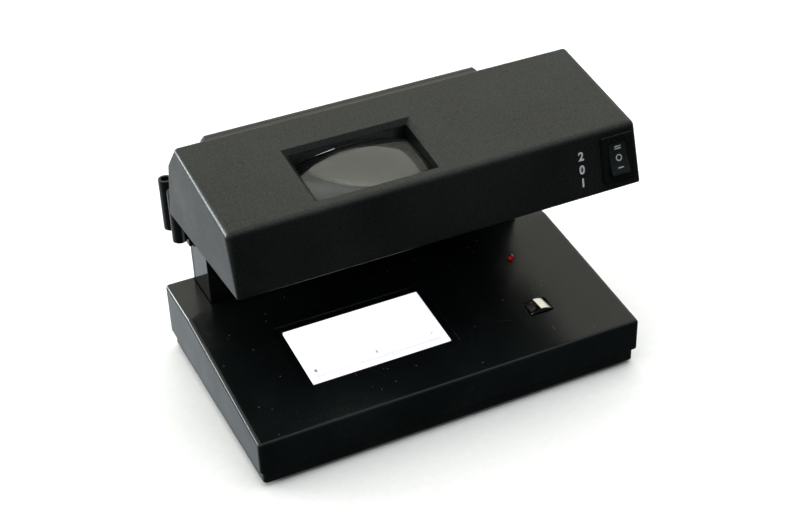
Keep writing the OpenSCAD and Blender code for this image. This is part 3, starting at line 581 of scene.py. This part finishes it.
def text_mesh(text, size):
    """A flat print of a numeral, centred on its own box."""
    curve = bpy.data.curves.new("print", "FONT")
    curve.body = text
    curve.size = size
    curve.align_x = "CENTER"
    curve.align_y = "CENTER"
    curve.extrude = PRINT_THICKNESS / 2
    curve.offset = 0.16 * MM
    curve.resolution_u = 6
    holder = bpy.data.objects.new("print", curve)
    bpy.context.scene.collection.objects.link(holder)
    bpy.context.view_layer.update()
    depsgraph = bpy.context.evaluated_depsgraph_get()
    mesh = bpy.data.meshes.new_from_object(holder.evaluated_get(depsgraph))
    bpy.data.objects.remove(holder)
    return mesh


def flat_mark(outline_rings, thickness):
    """A thin solid between an outer and an optional inner ring of 2-D points."""
    bm = bmesh.new()
    levels = []
    for z in (0.0, thickness):
        levels.append([[bm.verts.new((x, y, z)) for x, y in ring] for ring in outline_rings])
    for k, ring in enumerate(outline_rings):
        n = len(ring)
        for i in range(n):
            a, b = levels[0][k][i], levels[0][k][(i + 1) % n]
            c, d = levels[1][k][(i + 1) % n], levels[1][k][i]
            bm.faces.new((a, b, c, d) if k == 0 else (d, c, b, a))
    for level, flip in ((0, True), (1, False)):
        if len(outline_rings) == 1:
            face = levels[level][0]
            bm.faces.new(list(reversed(face)) if flip else face)
        else:
            outer, inner = levels[level]
            n = len(outer)
            for i in range(n):
                quad = [outer[i], outer[(i + 1) % n], inner[(i + 1) % n], inner[i]]
                bm.faces.new(list(reversed(quad)) if flip else quad)
    return bm


def circle_points(radius, sides=40):
    turns = [2 * math.pi * i / sides for i in range(sides)]
    return [(radius * math.cos(a), radius * math.sin(a)) for a in turns]


def bar_points(width, height, x=0.0, y=0.0):
    return [(x - width / 2, y - height / 2), (x + width / 2, y - height / 2),
            (x + width / 2, y + height / 2), (x - width / 2, y + height / 2)]


def add_position_numerals():
    """Plain numerals beside the switch, one for each of its three positions."""
    size, beside, proud = 5.4 * MM, -17.4 * MM, 0.012 * MM
    for numeral, up in (("2", 4.8), ("0", -1.3), ("1", -7.3)):
        mesh = text_mesh(numeral, size)
        mesh.transform(switch_frame(out=-0.6) @ Matrix.Translation((beside, up * MM, proud)))
        finish_piece(f"position_numeral_{numeral}", mesh, "head_abs", BODY_OF["head_cover"],
                     material=LABEL_INK)


def dish_height(y):
    """Height of the rocker's dished face above its axle."""
    return DISH_BOTTOM + DISH_RADIUS - math.sqrt(DISH_RADIUS ** 2 - y ** 2)


def add_rocker_marks():
    """Two bars, a ring and one bar, printed along the rocker's dished face."""
    stroke, sunk = 0.55 * MM, 0.006 * MM
    marks = (("two_bars", 4.9, [bar_points(3.1 * MM, stroke, y=0.5 * MM)],
              [bar_points(3.1 * MM, stroke, y=-0.5 * MM)]),
             ("ring", 0.3, [circle_points(1.55 * MM), circle_points(1.02 * MM)]),
             ("one_bar", -4.1, [bar_points(2.7 * MM, stroke)]))
    for name, up, *shapes in marks:
        joined = bmesh.new()
        for rings in shapes:
            joined.from_mesh(as_mesh(flat_mark(rings, 0.03 * MM), "mark"))
        for vertex in joined.verts:
            y = vertex.co.y + up * MM
            vertex.co = Vector((vertex.co.x, y, vertex.co.z + dish_height(y) - sunk))
        mesh = as_mesh(joined, f"rocker_{name}")
        mesh.transform(switch_frame(tilt=ROCKER_REST))
        finish_piece(f"rocker_{name}", mesh, "rocker_plastic", "rocker", material=MARK_INK)


def add_window_scale():
    """A faint printed scale along the lit window's front edge, with three numerals."""
    up = Vector((0, -math.sin(DECK_SLOPE), math.cos(DECK_SLOPE)))
    along = Vector((0, math.cos(DECK_SLOPE), math.sin(DECK_SLOPE)))
    points = [v.co for v in NODES["bill_window"].data.vertices]
    top = max(point.dot(up) for point in points)
    face = [point for point in points if point.dot(up) > top - 1e-5]
    front = min(point.dot(along) for point in face)
    left, right = min(p.x for p in face), max(p.x for p in face)
    joined = bmesh.new()
    spaces, inset, foot = 58, 4 * MM, 2.4
    for i in range(spaces + 1):
        tall = 3.0 if i % 10 == 0 else 2.4 if i % 5 == 0 else 1.7
        x = left + inset + i * (right - left - 2 * inset) / spaces
        tick = bar_points(0.26 * MM, tall * MM, x, (foot + tall / 2) * MM)
        joined.from_mesh(as_mesh(flat_mark([tick], PRINT_THICKNESS), "mark"))
    for numeral, x in (("0", left + inset), ("5", (left + right) / 2), ("9", right - 6 * MM)):
        digit = text_mesh(numeral, 2.4 * MM)
        digit.transform(Matrix.Translation((x, 7 * MM, PRINT_THICKNESS / 2)))
        joined.from_mesh(digit)
    mesh = as_mesh(joined, "window_scale")
    mesh.transform(Matrix.Translation(up * top + along * front)
                   @ Matrix.Rotation(DECK_SLOPE, 4, "X"))
    finish_piece("window_scale", mesh, "lit_diffuser", BODY_OF["bill_window"], material=SCALE_INK)


def add_spring():
    """The magnetic head's wire spring, a coil of round wire that fills the CAD spring's box."""
    low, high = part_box("mg_spring")
    wire = 0.3 * MM
    coil_r = (high.x - low.x) / 2 - wire
    bottom, rise = low.z + wire, high.z - low.z - 2 * wire
    turns, steps, sides = 5, 28, 10
    middle, height = (low + high) / 2, high.z - low.z
    bm = bmesh.new()
    rings = []
    for i in range(turns * steps + 1):
        a = 2 * math.pi * i / steps
        out = Vector((math.cos(a), math.sin(a), 0))
        centre = Vector((middle.x, middle.y, bottom + rise * i / (turns * steps))) + out * coil_r
        rings.append([bm.verts.new(centre + out * x + Vector((0, 0, z)))
                      for x, z in circle_points(wire, sides)])
    for ring, following in zip(rings, rings[1:]):
        for k in range(sides):
            n = (k + 1) % sides
            bm.faces.new((following[k], following[n], ring[n], ring[k]))
    bm.faces.new(rings[0])
    bm.faces.new(list(reversed(rings[-1])))
    bmesh.ops.recalc_face_normals(bm, faces=bm.faces)
    shade_by_angle(bm, 60)
    spring = finish_piece("spring_wire", as_mesh(bm, "spring_wire"), "spring_steel",
                          BODY_OF["mg_spring"], ["mg_spring"])
    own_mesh(spring)


def add_head_gap():
    """Bright shims on both sides of the magnetic head's pick-up gap."""
    low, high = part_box("mg_core")
    gap_x, spacing = (low.x + high.x) / 2 + 1.2 * MM, 0.30 * MM
    width, length, thick = 0.24 * MM, high.y - low.y - 1.2 * MM, 0.3 * MM
    bm = bmesh.new()
    for side in (-1, 1):
        for vertex in bmesh.ops.create_cube(bm, size=1)["verts"]:
            x, y, z = vertex.co
            vertex.co = Vector((gap_x + side * spacing + x * width,
                                (low.y + high.y) / 2 + y * length,
                                high.z + (z + 0.3) * thick))
    bmesh.ops.bevel(bm, geom=bm.edges[:], offset=0.05 * MM, segments=2, profile=0.5, affect="EDGES")
    shade_by_angle(bm)
    finish_piece("head_gap_shims", as_mesh(bm, "head_gap"), "pin_brass", BODY_OF["mg_core"])


def add_lens():
    """A plano-convex block lens with ground, chamfered edges."""
    width, depth, thick, radius = 55 * MM, 31.4 * MM, 7.6 * MM, 75 * MM
    columns, rows = 44, 26
    bm = bmesh.new()
    grid = []
    for j in range(rows + 1):
        y = (j / rows - 0.5) * depth
        line = []
        for i in range(columns + 1):
            x = (i / columns - 0.5) * width
            z = thick - radius + math.sqrt(radius ** 2 - x * x - y * y)
            line.append(bm.verts.new((x, y, z)))
        grid.append(line)
    for j in range(rows):
        for i in range(columns):
            bm.faces.new((grid[j][i], grid[j][i + 1], grid[j + 1][i + 1], grid[j + 1][i]))
    rim = ([grid[0][i] for i in range(columns)]
           + [grid[j][columns] for j in range(rows)]
           + [grid[rows][i] for i in range(columns, 0, -1)]
           + [grid[j][0] for j in range(rows, 0, -1)])
    foot = [bm.verts.new((v.co.x, v.co.y, 0)) for v in rim]
    for k in range(len(rim)):
        bm.faces.new((foot[k], foot[(k + 1) % len(rim)], rim[(k + 1) % len(rim)], rim[k]))
    bm.faces.new(list(reversed(foot)))
    sharp = [e for e in bm.edges
             if len(e.link_faces) == 2 and e.calc_face_angle(0) > math.radians(40)]
    bmesh.ops.bevel(bm, geom=sharp, offset=0.45 * MM, segments=2, profile=0.6, affect="EDGES",
                    clamp_overlap=True)
    shade_by_angle(bm, 30)
    mesh = as_mesh(bm, "lens_block")
    low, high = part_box("lens")
    back, down = 23.4 * MM, 10 * MM
    rise, run = math.sin(HEAD_SLOPE), math.cos(HEAD_SLOPE)
    seat = Vector(((low.x + high.x) / 2, HEAD_NOSE_Y + back * run + down * rise,
                   HEAD_NOSE_Z + back * rise - down * run))
    mesh.transform(Matrix.Translation(seat) @ Matrix.Rotation(HEAD_SLOPE, 4, "X"))
    piece = finish_piece("lens_block", mesh, "lens_glass", BODY_OF["lens"], ["lens"])
    level_normals(piece)


def lathe(name, profile, sides=48):
    """A solid of revolution about Z from (radius, height) points, closed on the axis."""
    bm = bmesh.new()
    rings = []
    for radius, z in profile:
        if radius < 1e-9:
            rings.append([bm.verts.new((0, 0, z))])
        else:
            rings.append([bm.verts.new((x, y, z)) for x, y in circle_points(radius, sides)])
    for a, b in zip(rings, rings[1:]):
        for i in range(sides):
            corners = [a[i % len(a)], a[(i + 1) % len(a)], b[(i + 1) % len(b)], b[i % len(b)]]
            unique = []
            for corner in corners:
                if corner not in unique:
                    unique.append(corner)
            bm.faces.new(unique)
    bmesh.ops.recalc_face_normals(bm, faces=bm.faces)
    shade_by_angle(bm, 35)
    return as_mesh(bm, name)


def islands(node):
    """Low and high corner of each separate solid of a CAD node, from left to right."""
    bm = bmesh.new()
    bm.from_mesh(NODES[node].data)
    bmesh.ops.remove_doubles(bm, verts=bm.verts, dist=MERGE_DISTANCE)
    left = set(bm.verts)
    found = []
    while left:
        stack, seen = [left.pop()], []
        while stack:
            vertex = stack.pop()
            seen.append(vertex.co.copy())
            for edge in vertex.link_edges:
                other = edge.other_vert(vertex)
                if other in left:
                    left.remove(other)
                    stack.append(other)
        low = Vector([min(co[k] for co in seen) for k in range(3)])
        high = Vector([max(co[k] for co in seen) for k in range(3)])
        found.append((low, high))
    bm.free()
    return sorted(found, key=lambda pair: tuple(pair[0]))


def add_feet():
    """Moulded rubber feet with a hollow middle, a rounded rim and a grip ring."""
    for number, (low, high) in enumerate(islands("rubber_feet"), 1):
        radius, height = (high.x - low.x) / 2, high.z - low.z
        ring = radius / 12
        profile = [(0, height), (radius, height), (radius, ring * 0.7),
                   (radius - ring * 0.3, ring * 0.2), (radius - ring, 0),
                   (radius - 3 * ring, 0), (radius - 3.4 * ring, ring),
                   (radius - 4.4 * ring, ring), (radius - 4.8 * ring, 0),
                   (radius - 7 * ring, 0), (radius - 7.6 * ring, ring * 0.9), (0, ring * 1.1)]
        mesh = lathe(f"foot_{number}", profile)
        middle = (low + high) / 2
        mesh.transform(Matrix.Translation((middle.x, middle.y, low.z)))
        finish_piece(f"rubber_foot_{number}", mesh, "foot_rubber", BODY_OF["rubber_feet"],
                     ["rubber_feet"])


def add_cad_finishes():
    """CAD nodes that keep their own meshes take a finish of the record's slot."""
    for node, piece in NODES.items():
        piece.data.materials.clear()
        piece.data.materials.append(MATERIALS[SLOT_OF[node]])


def main():
    bpy.context.scene.view_settings.view_transform = "Standard"
    add_camera()
    add_world()
    add_softbox("window_light", place=(-1.15, 0.965, 0.23), aim=(0, 0, 0.06), size=(0.75, 0.44),
                power=18, colour=(0.88, 0.95, 1.0))
    add_softbox("overhead", place=(0.1, 0.1, 1.6), aim=(0, 0, 0), size=(1.6, 1.6), power=26,
                colour=(1.0, 1.0, 1.0), mirrored=False)
    add_floor(floor_paper())
    add_cad_finishes()
    for node, width in EDGES.items():
        eased(node, width)
    add_lens()
    add_feet()
    add_position_numerals()
    add_rocker_marks()
    add_window_scale()
    add_head_gap()
    add_spring()


main()
bpy.context.view_layer.update()
